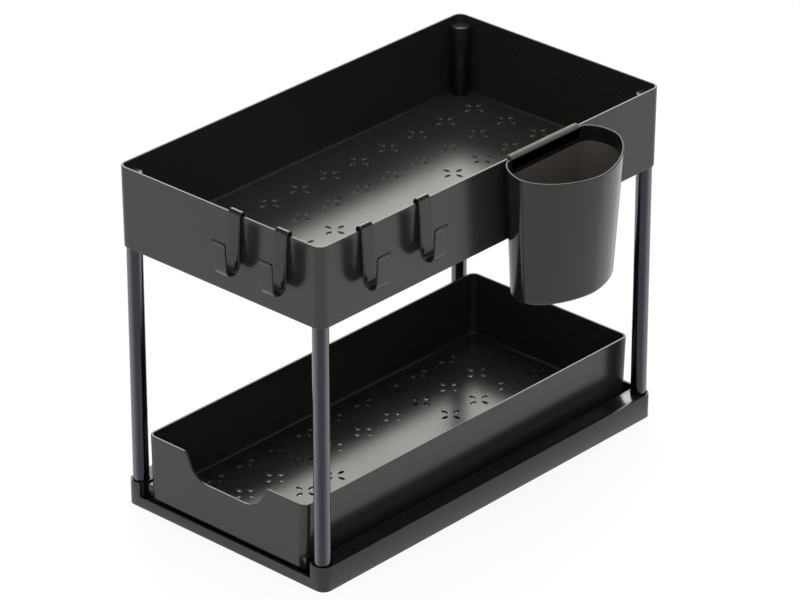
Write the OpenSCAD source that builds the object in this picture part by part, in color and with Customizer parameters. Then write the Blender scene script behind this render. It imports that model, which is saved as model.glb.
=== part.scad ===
// Two-tier under-sink organizer: a base tray with a sliding drawer, four metal
// legs, an upper basket, four rim hooks and a hanging cup.
// Millimetres, +Z up, drawer opens towards -Y, origin at the centre of the base's underside.

/* [Basket] */
// Length of the upper basket at its rim, along Y
basket_l = 390; // [330:1:460]
// Width of the upper basket at its rim, along X
basket_w = 213.2; // [200:0.2:260]
// Height of the basket's walls
basket_h = 68.6; // [55:0.2:100]
// Thickness of the basket's walls
basket_wall = 2; // [1.6:0.1:2.6]
// Thickness of the basket's floor
basket_floor = 2; // [1.6:0.1:3]
// How far each basket wall leans in from rim to floor
basket_draft = 0.6; // [0:0.1:2]
// Outer corner radius of the basket's rim
basket_r = 8; // [6:0.5:10]
// Height of the basket's rim above the ground
rim_z = 294; // [250:1:340]

/* [Base] */
// Length of the base, along Y
base_l = 388.9; // [330:0.1:460]
// Width of the base, along X
base_w = 213.4; // [200:0.2:260]
// Height of the base's deck
base_h = 21; // [19:0.5:28]
// Outer corner radius of the base
base_r = 8; // [6:0.5:10]
// Thickness of the base's skirt
skirt_t = 2.4; // [2:0.1:3]
// Thickness of the base's deck
deck_t = 2.4; // [2:0.1:3]
// Height of the lip across the base's front opening
lip_h = 9; // [8:0.1:10]
// Top of the base's windowed floor above the ground
pan_z = 5.4; // [4.8:0.1:6.4]
// Thickness of the base's windowed floor
pan_t = 2.2; // [1.6:0.1:2.6]
// Width of each base rail that the drawer slides on
rail_w = 5; // [3:0.5:8]
// Distance between the centre lines of the two rails
rail_gauge = 144; // [136:1:150]
// Width of the spine along the middle of the base's floor
spine_w = 10; // [6:1:16]
// Width of the two bars across the base's floor
bar_w = 21; // [12:1:30]
// Length of the middle pair of windows
window_l = 102; // [80:1:120]

/* [Legs] */
// Outer diameter of a leg tube
leg_d = 13; // [11:0.1:14]
// Wall thickness of a leg tube
leg_wall = 1; // [0.8:0.1:1.6]
// Distance from a leg's axis to the base's long side
leg_inset_x = 8.7; // [8.4:0.1:9.5]
// Distance from a leg's axis to the end of the base or the basket, whichever is shorter
leg_inset_y = 7.85; // [7.8:0.05:9]
// Radial play of a leg in its sockets
leg_play = 0.05; // [0.02:0.01:0.1]
// Height of a leg's lower end above the ground
leg_seat_z = 3; // [2.4:0.1:5]
// Depth of the wider recess around each leg at the deck
collar_depth = 4; // [2:0.5:6]
// Width of the gap around each leg in that recess
collar_gap = 0.6; // [0.4:0.1:1.2]
// Wall of the basket's post around each leg
post_wall = 1.25; // [1.1:0.05:2]
// How far the top of a post lies below the rim
post_drop = 5; // [2:0.5:12]
// Thickness of the cap that closes a post
post_cap = 3; // [2:0.5:5]

/* [Drawer] */
// Length of the drawer at its rim, along Y
drawer_l = 380.9; // [320:0.1:450]
// Width of the drawer at its rim, along X
drawer_w = 170.1; // [150:0.1:176]
// Height of the drawer
drawer_h = 57.6; // [45:0.1:90]
// Thickness of the drawer's walls
drawer_wall = 2; // [1.6:0.1:2.6]
// Thickness of the drawer's floor
drawer_floor = 2; // [1.6:0.1:3]
// How far the drawer's side and rear walls lean in from rim to floor
drawer_draft = 1.2; // [0:0.1:2]
// Outer corner radius of the drawer's rim
drawer_r = 7; // [5:0.5:10]
// Radius of the bend between the drawer's walls and its floor
drawer_bend = 3; // [2.2:0.1:4]
// Gap between the drawer and the rails it slides on
slide_gap = 0.3; // [0.2:0.05:0.5]
// How far the drawer's face lies behind the base's front
face_setback = 3; // [2.5:0.1:5]
// Height of the square-ended apron at the foot of the drawer's face
apron_h = 13; // [8:0.1:20]
// Depth of the apron, front to back
apron_d = 8; // [6:0.5:12]
// Width of the notch in the drawer's face, at the rim
notch_w = 87.5; // [60:0.5:110]
// Depth of the notch
notch_h = 21.5; // [15:0.5:24]
// Slope of the notch's sides
notch_angle = 64; // [60:1:75]
// Radius of the notch's lower corners
notch_r = 22; // [15:1:26]
// How far the drawer slides out
drawer_travel = 280; // [200:5:300]
// Length of each side lug that holds the open drawer level
lug_l = 24; // [15:1:40]
// Gap between the top of a side lug and the deck above it
lug_gap = 2.4; // [0.3:0.1:3]

/* [Cup] */
// Half the width of the cup's mouth
cup_half_w = 57.4; // [45:0.1:65]
// Depth of the cup's mouth from its back to the start of its bow
cup_side = 23.1; // [15:0.1:30]
// Depth of the bow of the cup's mouth
cup_bow = 36.3; // [25:0.1:45]
// Roundness of the bow: 2 is an ellipse, less is more pointed
cup_power = 1.71; // [1.6:0.01:2.4]
// Length of each rounded back corner along the wall
cup_corner = 17.8; // [10:0.1:25]
// Height of the cup's bottom above the ground
cup_foot_z = 181; // [150:1:200]
// How far the cup's sides and front lean in from mouth to bottom
cup_taper = 7; // [3:0.5:10]
// Fall of the cup's rim from back to front, per unit of depth
cup_slope = 0.15; // [0:0.01:0.25]
// Wall thickness of the cup
cup_wall = 1.8; // [1.4:0.1:2.2]
// Radius of the cup's bottom edge
cup_edge = 3; // [2.4:0.1:5]
// Place of the cup's middle along the basket's side, along Y
cup_y = 54.5; // [20:0.5:90]
// Length of the cup's hanging lip inside the basket
cup_lip = 10; // [6:0.5:16]

/* [Hooks] */
// Width of a hook's strip
hook_w = 12.5; // [9:0.5:16]
// Thickness of a hook's strip
hook_t = 2; // [1.6:0.1:2.4]
// Depth of a hook below the rim
hook_h = 46.3; // [40:0.1:56]
// Outer radius of the hook's round bottom
hook_bend = 7.6; // [6.5:0.1:9]
// Reach of the middle of the round bottom from the basket's wall
hook_reach = 10.1; // [9.5:0.1:13]
// Outward lean of the hook's flap, in degrees
flap_angle = 3.5; // [0:0.5:10]
// Straight length of the hook's flap
flap_l = 20; // [14:0.5:22]
// Radius of the flap's out-turned tip
tip_r = 4; // [3:0.5:6]
// Length of a hook's inner leg below the rim
hook_lip = 10; // [6:0.5:14]
// Gap between a hook or the cup's lip and the rim it hangs on
hang_gap = 0.3; // [0.2:0.05:0.5]
// Places along X of the two front hooks' middles
front_hooks = [20, 68.1];
// Places along Y of the two side hooks' middles
side_hooks = [-146.6, -83.7];

/* [Pads] */
// Length and width of each anti-slip pad
pad_size = 10; // [6:0.5:12]
// Thickness of each anti-slip pad, which is also the depth of its pocket
pad_t = 1.2; // [0.8:0.1:1.6]
// Gap round each pad in its pocket
pad_gap = 0.1; // [0.05:0.05:0.3]

/* [Perforations] */
// Distance between neighbouring flowers across the basket's floor
basket_flower_x = 34.9; // [30:0.1:38]
// Distance between neighbouring flowers across the drawer's floor
drawer_flower_x = 32.9; // [28:0.1:35]
// Distance between neighbouring flowers along a floor
flower_y = 34.1; // [28:0.1:36]
// How far the middle of the basket's flowers lies behind the basket's middle
basket_flower_shift = 1.2; // [0:0.1:3]
// How far the middle of the drawer's flowers lies behind the drawer's middle
drawer_flower_shift = 0.7; // [0:0.1:3]
// Distance from a flower's middle to the middle of each petal
petal_offset = 6.8; // [5:0.1:8]
// Length of a petal
petal_l = 6.8; // [5:0.1:8]
// Width of a petal
petal_w = 2.8; // [2:0.1:3.4]

/* [Hidden] */

// A hair of overlap that keeps joined solids from meeting edge to edge
eps = 0.01;
// Facets round a full corner of the leaning tubs
corner_facets = 32;
// Facets round true cylinders
round_facets = 64;
// Levels in a tub's rounded bottom edge
bend_steps = 5;
// Steps round each bend of a hook, and how far its tip turns, in degrees
hook_steps = 14;
tip_turn = 60;
// Points round the cup's bow and round each of its back corners
bow_steps = 48;
shoulder_steps = 8;

// Basket
basket_foot = rim_z - basket_h;
basket_floor_z = basket_foot + basket_floor;

// Legs
leg_x = base_w / 2 - leg_inset_x;
leg_y = min(base_l, basket_l) / 2 - leg_inset_y;
leg_r = leg_d / 2;
socket_r = leg_r + leg_play;
collar_r = leg_r + collar_gap;
post_r = socket_r + post_wall;
post_top = rim_z - post_drop;
leg_top = post_top - post_cap;

// Base: the block round each leg also sets the width of the drawer's channel
block_x = leg_x - collar_r - 0.7;
block_y = leg_y - collar_r - 3;
opening_x = block_x + 1.9;
channel_end = base_l / 2 - skirt_t;
groove_x = block_x + 3.8;
channel_wall = 2;
pan_half = groove_x + channel_wall;
window_x = 62;
window_end = 150;

// Drawer
drawer_z = lip_h + slide_gap;
drawer_top = drawer_z + drawer_h;
drawer_front = -base_l / 2 + face_setback;
drawer_y = drawer_front + drawer_l / 2;
notch_floor = drawer_top - notch_h;
lug_x = groove_x - 0.8;
lug_front = drawer_travel - block_y + 0.5;
lug_top = base_h - deck_t - lug_gap;

// Rim details that hooks and cup share
wall_out_x = basket_w / 2;
wall_out_y = basket_l / 2;
bend_in = basket_wall / 2 + hang_gap;
bend_mid = bend_in + hook_t / 2;

// A flat rounded rectangle centred on the origin
module plate(w, l, r) {
    square([w - 2 * r, l], center = true);
    square([w, l - 2 * r], center = true);
    for (x = [-1, 1], y = [-1, 1])
        translate([x * (w / 2 - r), y * (l / 2 - r)]) circle(r = r, $fn = round_facets);
}

// A solid tub that leans in by draft towards its floor, apart from its front, which leans in
// by front_draft, and is rounded by bend at the bottom
module tub(w, l, h, r, draft, front_draft, bend) {
    levels = [for (i = [0:bend_steps])
        let (a = 90 * i / bend_steps) [bend * (1 - sin(a)), bend * (1 - cos(a))]];
    hull() {
        for (x = [-1, 1], y = [-1, 1]) {
            lean_y = y < 0 ? front_draft : draft;
            translate([x * (w / 2 - r), y * (l / 2 - r), h - eps])
                cylinder(r = r, h = eps, $fn = corner_facets);
            for (level = levels)
                translate([x * (w / 2 - draft - r), y * (l / 2 - lean_y - r), level[0]])
                    cylinder(r = r - level[1], h = eps, $fn = corner_facets);
        }
    }
}

// One leaf-shaped petal, long in X, where two discs cross
module petal() {
    disc_r = (petal_l * petal_l + petal_w * petal_w) / (4 * petal_w);
    intersection_for (s = [-1, 1])
        translate([0, s * (disc_r - petal_w / 2)]) circle(r = disc_r, $fn = round_facets);
}

// Rows of four-petal flowers, five across and eleven along, with a plain patch in the middle
module flowers(flower_x) {
    for (i = [-2:2], j = [-5:5])
        if (i != 0 || abs(j) > 1)
            for (a = [0:90:270])
                translate([i * flower_x, j * flower_y]) rotate(a) translate([petal_offset, 0]) petal();
}

// Vertical posts or bores at the four legs
module at_legs() {
    for (x = [-1, 1], y = [-1, 1]) translate([x * leg_x, y * leg_y, 0]) children();
}

// A flat square block that stands on the origin
module square_block(w, h) {
    translate([-w / 2, -w / 2, 0]) cube([w, w, h]);
}

module base_outline(inset) {
    plate(base_w - 2 * inset, base_l - 2 * inset, base_r - inset);
}

// Windows either side of the spine: a long middle pair and a pair towards each end
module windows() {
    end_l = window_end - window_l / 2 - bar_w;
    for (x = [-1, 1]) {
        translate([x * (spine_w / 2 + window_x) / 2, 0])
            square([window_x - spine_w / 2, window_l], center = true);
        for (y = [-1, 1])
            translate([x * (spine_w / 2 + window_x) / 2, y * (window_end - end_l / 2)])
                square([window_x - spine_w / 2, end_l], center = true);
    }
}

module base_tray() {
    rail_l = base_l - 2 * skirt_t;
    color([0.13, 0.13, 0.13]) difference() {
        union() {
            // Skirt
            linear_extrude(base_h) difference() {
                base_outline(0);
                base_outline(skirt_t);
            }
            // Deck round the drawer's channel
            translate([0, 0, base_h - deck_t]) linear_extrude(deck_t) difference() {
                base_outline(eps);
                translate([-block_x, -base_l]) square([2 * block_x, base_l + channel_end]);
            }
            // Walls that carry the deck's inner edges, behind the grooves for the drawer's lugs
            for (x = [-1, 1])
                translate([x * (groove_x + channel_wall / 2), 0, base_h / 2 + pan_z / 4])
                    cube([channel_wall, 2 * block_y + eps, base_h - pan_z / 2 - deck_t], center = true);
            // Windowed floor, its spine and the rails
            translate([0, 0, pan_z - pan_t]) linear_extrude(pan_t) difference() {
                intersection() {
                    base_outline(skirt_t / 2);
                    square([2 * pan_half, base_l], center = true);
                }
                windows();
            }
            translate([-spine_w / 2, -rail_l / 2, 0]) cube([spine_w, rail_l, pan_z - eps]);
            for (x = [-1, 1])
                translate([x * rail_gauge / 2 - rail_w / 2, -rail_l / 2, pan_z - eps])
                    cube([rail_w, rail_l, lip_h - pan_z + eps]);
            // Blocks round the leg sockets
            linear_extrude(base_h) intersection() {
                base_outline(eps);
                for (x = [-1, 1], y = [-1, 1])
                    translate([x * (block_x + base_w / 4), y * (block_y + base_l / 4)])
                        square([base_w / 2, base_l / 2], center = true);
            }
        }
        // Front opening over the lip
        translate([-opening_x, -base_l / 2 - 1, lip_h]) cube([2 * opening_x, 1 + skirt_t, base_h]);
        // Pockets for the anti-slip pads
        translate([0, 0, -1]) at_legs() square_block(pad_size + 2 * pad_gap, pad_t + 1);
        // Leg sockets and the recess round each leg
        at_legs() {
            translate([0, 0, leg_seat_z]) cylinder(r = socket_r, h = base_h, $fn = round_facets);
            translate([0, 0, base_h - collar_depth])
                cylinder(r = collar_r, h = base_h, $fn = round_facets);
        }
    }
}

// The notch's outline in the plane of the drawer's face, with its middle at the origin
module notch_outline() {
    run = notch_h / tan(notch_angle);
    foot = notch_w / 2 - run;
    tangent = notch_r * tan(notch_angle / 2);
    side_x = foot + tangent * cos(notch_angle);
    side_z = tangent * sin(notch_angle);
    above = notch_h + 5;
    top_x = foot + above / tan(notch_angle);
    intersection() {
        union() {
            polygon([[-side_x, side_z], [side_x, side_z], [top_x, above], [-top_x, above]]);
            translate([-foot + tangent, 0]) square([2 * (foot - tangent), above]);
            for (s = [-1, 1])
                translate([s * (foot - tangent), notch_r]) circle(r = notch_r, $fn = round_facets);
        }
        polygon([[-foot - eps, 0], [foot + eps, 0], [top_x, above], [-top_x, above]]);
    }
}

module drawer() {
    inner_w = drawer_w - 2 * drawer_wall;
    inner_l = drawer_l - 2 * drawer_wall;
    inner_r = drawer_r - drawer_wall;
    inner_bend = drawer_bend - 0.1;
    color([0.13, 0.13, 0.13]) difference() {
        union() {
            difference() {
                translate([0, drawer_y, drawer_z])
                    tub(drawer_w, drawer_l, drawer_h, drawer_r, drawer_draft, 0, drawer_bend);
                translate([0, drawer_y, drawer_z + drawer_floor])
                    tub(inner_w, inner_l, drawer_h, inner_r, drawer_draft, 0, inner_bend);
            }
            // Square-ended apron at the foot of the face
            difference() {
                translate([-drawer_w / 2, drawer_front, drawer_z + drawer_bend])
                    cube([drawer_w, apron_d, apron_h - drawer_bend]);
                translate([0, drawer_y, drawer_z + drawer_floor])
                    tub(inner_w, inner_l, drawer_h, inner_r, drawer_draft, 0, inner_bend);
            }
            // Lugs that run in the grooves under the deck's edges
            difference() {
                translate([-lug_x, lug_front, drawer_z + drawer_bend])
                    cube([2 * lug_x, lug_l, lug_top - drawer_z - drawer_bend]);
                translate([0, drawer_y, drawer_z + drawer_floor])
                    tub(inner_w, inner_l, drawer_h, inner_r, drawer_draft, 0, inner_bend);
            }
        }
        translate([0, drawer_front + drawer_r, notch_floor]) rotate([90, 0, 0])
            linear_extrude(2 * drawer_r) notch_outline();
        translate([0, drawer_y + drawer_flower_shift, drawer_z - 1])
            linear_extrude(drawer_floor + 2) flowers(drawer_flower_x);
    }
}

module upper_basket() {
    inner_w = basket_w - 2 * basket_wall;
    inner_l = basket_l - 2 * basket_wall;
    color([0.13, 0.13, 0.13]) difference() {
        union() {
            difference() {
                translate([0, 0, basket_foot])
                    tub(basket_w, basket_l, basket_h, basket_r, basket_draft, basket_draft, 1);
                translate([0, 0, basket_floor_z])
                    tub(inner_w, inner_l, basket_h, basket_r - basket_wall,
                        basket_draft, basket_draft, 1.5);
            }
            // Posts over the legs
            translate([0, 0, basket_foot + basket_floor / 2]) at_legs()
                cylinder(r = post_r, h = post_top - basket_foot - basket_floor / 2, $fn = round_facets);
        }
        translate([0, 0, basket_foot - 1]) at_legs()
            cylinder(r = socket_r, h = leg_top - basket_foot + 1, $fn = round_facets);
        translate([0, basket_flower_shift, basket_foot - 1])
            linear_extrude(basket_floor + 2) flowers(basket_flower_x);
    }
}

// A leg tube from its seat in the base to the cap of the basket's post
module leg(x, y) {
    color([0.1, 0.1, 0.11]) translate([x * leg_x, y * leg_y, leg_seat_z]) difference() {
        cylinder(r = leg_r, h = leg_top - leg_seat_z, $fn = round_facets);
        translate([0, 0, -1])
            cylinder(r = leg_r - leg_wall, h = leg_top - leg_seat_z + 2, $fn = round_facets);
    }
}

// A rubber pad in its pocket under the block that holds a leg, level with the base's underside
module pad(x, y) {
    color([0.08, 0.08, 0.08]) translate([x * leg_x, y * leg_y, 0]) square_block(pad_size, pad_t);
}

// The cup's outline as [out from the wall, along the wall], from one back corner to the other
function cup_ring(half_w, side, bow, corner, back) = concat(
    [for (i = [0:shoulder_steps - 1]) let (a = 90 * i / shoulder_steps)
        [back + (side - back) * (1 - cos(a)), -half_w + corner * (1 - sin(a))]],
    [for (i = [0:bow_steps]) let (a = -90 + 180 * i / bow_steps)
        [side + bow * pow(abs(cos(a)), 2 / cup_power),
            half_w * sign(a) * pow(abs(sin(a)), 2 / cup_power)]],
    [for (i = [shoulder_steps - 1:-1:0]) let (a = 90 * i / shoulder_steps)
        [back + (side - back) * (1 - cos(a)), half_w - corner * (1 - sin(a))]]);

// One level of the cup: rise 0 is the foot and 1 the sloping rim, inset is the wall's distance
function cup_level(rise, inset, lift) = [for (p = cup_ring(
        cup_half_w - cup_taper * (1 - rise) - inset, cup_side,
        cup_bow - cup_taper * (1 - rise) - inset, cup_corner - inset, inset))
    [p[0], p[1], cup_foot_z + lift
        + rise * (rim_z - cup_slope * p[0] - cup_foot_z - lift)]];

// Levels up the outside, over the rim and down the inside
cup_levels = concat(
    [for (i = [0:bend_steps]) let (a = 90 * i / bend_steps)
        cup_level(0, cup_edge * (1 - sin(a)), cup_edge * (1 - cos(a)))],
    [cup_level(1, 0, 0), cup_level(1, cup_wall, 0)],
    [for (i = [bend_steps:-1:0]) let (a = 90 * i / bend_steps, edge = cup_edge - cup_wall)
        cup_level(0, cup_wall + edge * (1 - sin(a)), cup_wall + edge * (1 - cos(a)))]);

// A closed skin over stacked rings of points
module skin(rings) {
    n = len(rings[0]);
    last = len(rings) - 1;
    polyhedron(
        points = [for (ring = rings) each ring],
        faces = concat(
            [[for (i = [0:n - 1]) i]],
            [for (k = [0:last - 1], i = [0:n - 1]) let (j = (i + 1) % n)
                [k * n + i, (k + 1) * n + i, (k + 1) * n + j]],
            [for (k = [0:last - 1], i = [0:n - 1]) let (j = (i + 1) % n)
                [k * n + i, (k + 1) * n + j, k * n + j]],
            [[for (i = [n - 1:-1:0]) last * n + i]]));
}

module hanging_cup() {
    back_x = wall_out_x + hang_gap;
    lip_x = -basket_wall - 2 * hang_gap - cup_wall;
    flange_w = 2 * (cup_half_w - cup_corner);
    color([0.12, 0.12, 0.13]) translate([back_x, cup_y, 0]) {
        skin(cup_levels);
        // Flange over the rim and the lip behind it
        translate([lip_x, -flange_w / 2, rim_z + hang_gap])
            cube([cup_wall - lip_x, flange_w, cup_wall]);
        translate([lip_x, -flange_w / 2, rim_z - cup_lip])
            cube([cup_wall, flange_w, cup_lip + hang_gap + cup_wall]);
        translate([0, -flange_w / 2, rim_z - cup_lip])
            cube([cup_wall, flange_w, cup_lip + hang_gap + eps]);
    }
}

function dir(a) = [cos(a), sin(a)];

// Stations along the middle of a hook's strip, each with the direction square to the strip.
// X is out from the wall's outer face, Y is up, and the rim is at 0: up the inner leg, over
// the rim, down the strip, round the bowl, up the flap and out round its tip
function hook_stations() =
    let (clip = [-basket_wall / 2, hang_gap - bend_in + basket_wall / 2],
        bowl_mid = hook_bend - hook_t / 2,
        bowl = [hook_reach, hook_bend - hook_h],
        reach = bowl - clip,
        lean = acos((bend_mid + bowl_mid) / norm(reach)) - atan2(-reach[1], reach[0]),
        tip = bowl + (bowl_mid + tip_r) * dir(-flap_angle) + flap_l * dir(90 - flap_angle))
    concat(
        [[clip + [-bend_mid, -hook_lip - clip[1]], 180]],
        [for (i = [0:hook_steps]) let (a = 180 + (lean - 180) * i / hook_steps)
            [clip + bend_mid * dir(a), a]],
        [for (i = [0:hook_steps]) let (a = 180 + lean + (180 - flap_angle - lean) * i / hook_steps)
            [bowl + bowl_mid * dir(a), a + 180]],
        [for (i = [0:hook_steps]) let (a = 180 - flap_angle - tip_turn * i / hook_steps)
            [tip + tip_r * dir(a), a]]);

// A hook's side view
module hook_outline() {
    line = hook_stations();
    polygon(concat(
        [for (p = line) p[0] + hook_t / 2 * dir(p[1])],
        [for (i = [len(line) - 1:-1:0]) line[i][0] - hook_t / 2 * dir(line[i][1])]));
}

module hook() {
    color([0.12, 0.12, 0.12]) rotate([90, 0, 0]) translate([0, rim_z, -hook_w / 2])
        linear_extrude(hook_w) hook_outline();
}

// A hook on the front wall, with its middle at x
module front_hook(x) {
    translate([x, -wall_out_y, 0]) rotate(-90) hook();
}

// A hook on the right-hand wall, with its middle at y
module side_hook(y) {
    translate([wall_out_x, y, 0]) hook();
}

base_tray();
drawer();
upper_basket();
leg(-1, -1);  // leg_front_left
leg(1, -1);  // leg_front_right
leg(-1, 1);  // leg_rear_left
leg(1, 1);  // leg_rear_right
pad(-1, -1);  // pad_front_left
pad(1, -1);  // pad_front_right
pad(-1, 1);  // pad_rear_left
pad(1, 1);  // pad_rear_right
hanging_cup();
front_hook(front_hooks[0]);  // hook_front_left
front_hook(front_hooks[1]);  // hook_front_right
side_hook(side_hooks[0]);  // hook_side_front
side_hook(side_hooks[1]);  // hook_side_rear
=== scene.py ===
"""Two-tier under-sink organizer: two moulded tubs, a base, metal legs, rim hooks and a hanging cup.

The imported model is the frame, with +Z up and the drawer opening towards -Y. Sizes are in
millimetres until a surface goes into its mesh, and each surface takes its place from the frame.
"""
import math

import bmesh
import bpy
import numpy as np
from mathutils import Matrix, Vector
from mathutils.geometry import delaunay_2d_cdt


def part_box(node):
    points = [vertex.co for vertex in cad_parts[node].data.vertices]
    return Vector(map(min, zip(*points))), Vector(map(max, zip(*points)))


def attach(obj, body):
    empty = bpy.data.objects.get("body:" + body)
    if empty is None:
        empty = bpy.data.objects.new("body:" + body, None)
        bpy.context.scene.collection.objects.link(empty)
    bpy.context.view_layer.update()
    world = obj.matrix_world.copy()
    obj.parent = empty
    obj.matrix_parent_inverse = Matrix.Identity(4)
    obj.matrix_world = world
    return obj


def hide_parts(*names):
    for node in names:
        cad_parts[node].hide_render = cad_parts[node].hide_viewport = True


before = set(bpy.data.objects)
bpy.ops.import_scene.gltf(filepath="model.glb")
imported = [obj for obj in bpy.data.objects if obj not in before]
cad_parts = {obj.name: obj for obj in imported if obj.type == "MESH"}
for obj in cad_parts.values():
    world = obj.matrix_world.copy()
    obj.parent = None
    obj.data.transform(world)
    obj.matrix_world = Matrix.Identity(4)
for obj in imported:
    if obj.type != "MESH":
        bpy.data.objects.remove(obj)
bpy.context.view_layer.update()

# Units and meshing
MM = 0.001
MERGE = 2e-6
CORNER_STEPS = 12
ROUND_STEPS = 4
TURN_STEPS = 48

# Both tubs
TUB_WALL = 2.0
TUB_FLOOR = 2.0
RIM_EDGE = 0.4
FLOOR_FILLET = 2.5

# Basket
BASKET_CORNER = 8.0
BASKET_LEAN = 0.6
BASKET_FOOT_EDGE = 1.0
POST_RADIUS = 7.7
POST_DROP = 6.5
POST_EDGE = 0.6

# Drawer
DRAWER_CORNER = 7.0
DRAWER_LEAN = 1.2
DRAWER_FOOT_EDGE = 3.0
DRAWER_SIDE = 85.05
APRON_DEPTH = 8.0
APRON_TOP = 22.3
APRON_EDGE = 0.3
LUG_LENGTH = 24.0
LUG_TOP = 16.2
NOTCH_WIDTH = 87.5
NOTCH_DEPTH = 21.5
NOTCH_SLOPE = math.radians(64)
NOTCH_RADIUS = 22.0
NOTCH_SHOULDER = 2.5

# Perforations
FLOWER_PITCH_Y = 34.1
BASKET_PITCH_X = 34.9
DRAWER_PITCH_X = 32.9
BASKET_SHIFT = 1.2
DRAWER_SHIFT = 0.7
LEAF_OFFSET = 6.8
LEAF_LENGTH = 7.2
LEAF_WIDTH = 3.2
LEAF_STEPS = 8
LIP = 0.15
LIP_STEPS = 3

# Legs
LEG_WALL = 1.0
LEG_EDGE = 0.4

# Cup
CUP_HALF_WIDTH = 57.4
CUP_SIDE = 23.1
CUP_BOW = 36.3
CUP_POWER = 1.71
CUP_SHOULDER = 17.8
CUP_TAPER = 7.0
CUP_SLOPE = 0.15
CUP_WALL = 1.8
CUP_FOOT_EDGE = 3.0
CUP_RIM_EDGE = 0.7
CUP_LIP = 10.0
# Row where the cup's lighter inside finish starts: painted light inside the cup.
CUP_PAINTED_INSIDE_ROW = 23
BOW_STEPS = 96
SHOULDER_STEPS = 14

# Hooks
HOOK_THICK = 2.0
HOOK_DEPTH = 46.3
HOOK_BEND = 7.6
HOOK_REACH = 10.1
HOOK_LIP = 10.0
FLAP_LEAN = 3.5
FLAP_LENGTH = 20.0
TIP_RADIUS = 4.0
TIP_TURN = 60.0
HANG_GAP = 0.3
STRIP_EDGE = 0.7
HOOK_STEPS = 24

# Base
BASE_EDGE = 0.5


def box_of(node):
    """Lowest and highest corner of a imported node, in millimetres."""
    low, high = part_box(node)
    return np.array(low) / MM, np.array(high) / MM


def quarter(steps):
    """Angles from 0 to 90 degrees, in radians."""
    return np.radians(np.linspace(0, 90, steps + 1))


class Surface:
    """Patches of points and faces in millimetres that make up one piece."""

    def __init__(self):
        self.points = []
        self.faces = []
        self.finishes = []
        self.count = 0

    def patch(self, points, *face_sets, finish_number=0):
        """Adds points, and faces that count from the first of them."""
        points = np.asarray(points, float).reshape(-1, 3)
        for faces in face_sets:
            self.faces += (np.asarray(faces) + self.count).tolist()
            self.finishes += [finish_number] * len(faces)
        self.points.append(points)
        self.count += len(points)


def lattice(rows, columns, turned=False):
    """Four-cornered faces between neighbouring rings: ring k, point i to ring k + 1, point i + 1.

    The last point of a ring joins its first. Turned faces look the other way.
    """
    start = np.arange(rows * columns).reshape(rows, columns)
    after = np.roll(start, -1, axis=1)
    faces = np.stack([start[:-1], after[:-1], after[1:], start[1:]], -1).reshape(-1, 4)
    return faces[:, ::-1] if turned else faces


def end_faces(rows, columns, turned=False):
    """One flat face over the first ring and one over the last, each looking away from the other."""
    ring = np.arange(columns)
    first = ring[::-1][None]
    last = ring[None] + (rows - 1) * columns
    return (first[:, ::-1], last[:, ::-1]) if turned else (first, last)


def even_normals(mesh):
    """Point normals: the sum of the normals round a point, each times its face's area.

    A wide flat face then stays flat right up to the narrow faces of its rounded edge.
    """
    count = len(mesh.polygons)
    area = np.empty(count)
    normal = np.empty(count * 3)
    corners = np.empty(count, dtype=np.int32)
    point = np.empty(len(mesh.loops), dtype=np.int32)
    mesh.polygons.foreach_get("area", area)
    mesh.polygons.foreach_get("normal", normal)
    mesh.polygons.foreach_get("loop_total", corners)
    mesh.loops.foreach_get("vertex_index", point)
    share = np.repeat(normal.reshape(-1, 3) * area[:, None], corners, axis=0)
    total = np.zeros((len(mesh.vertices), 3))
    np.add.at(total, point, share)
    total /= np.maximum(np.linalg.norm(total, axis=1, keepdims=True), 1e-20)
    mesh.polygons.foreach_set("use_smooth", np.ones(count, dtype=bool))
    mesh.normals_split_custom_set_from_vertices(total.tolist())


def dress(name, mesh, materials, body, slot, *nodes):
    """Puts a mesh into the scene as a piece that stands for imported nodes."""
    for material in materials:
        mesh.materials.append(material)
    piece = bpy.data.objects.new(name, mesh)
    bpy.context.scene.collection.objects.link(piece)
    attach(piece, body)
    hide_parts(*nodes)
    return piece


def moulding(name, surface, materials, body, slot, *nodes):
    """Closes a surface where its patches meet and puts it into the scene as a piece."""
    mesh = bpy.data.meshes.new(name)
    points = np.concatenate(surface.points) * MM
    mesh.from_pydata(points.tolist(), [], surface.faces)
    mesh.polygons.foreach_set("material_index", surface.finishes)
    shell = bmesh.new()
    shell.from_mesh(mesh)
    bmesh.ops.remove_doubles(shell, verts=shell.verts, dist=MERGE)
    shell.to_mesh(mesh)
    shell.free()
    even_normals(mesh)
    return dress(name, mesh, materials, body, slot, *nodes)


def corner_stations(steps):
    """Signs of the corner and outward direction at each point round a rounded rectangle.

    Counter-clockwise from the front right corner: four quarter turns, one round each corner.
    """
    turn = quarter(steps) - math.pi / 2
    angle = (turn[None] + np.radians([0, 90, 180, 270])[:, None]).ravel()
    signs = np.repeat([[1, -1], [1, 1], [-1, 1], [-1, -1]], steps + 1, axis=0)
    return signs, np.stack([np.cos(angle), np.sin(angle)], 1)


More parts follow.
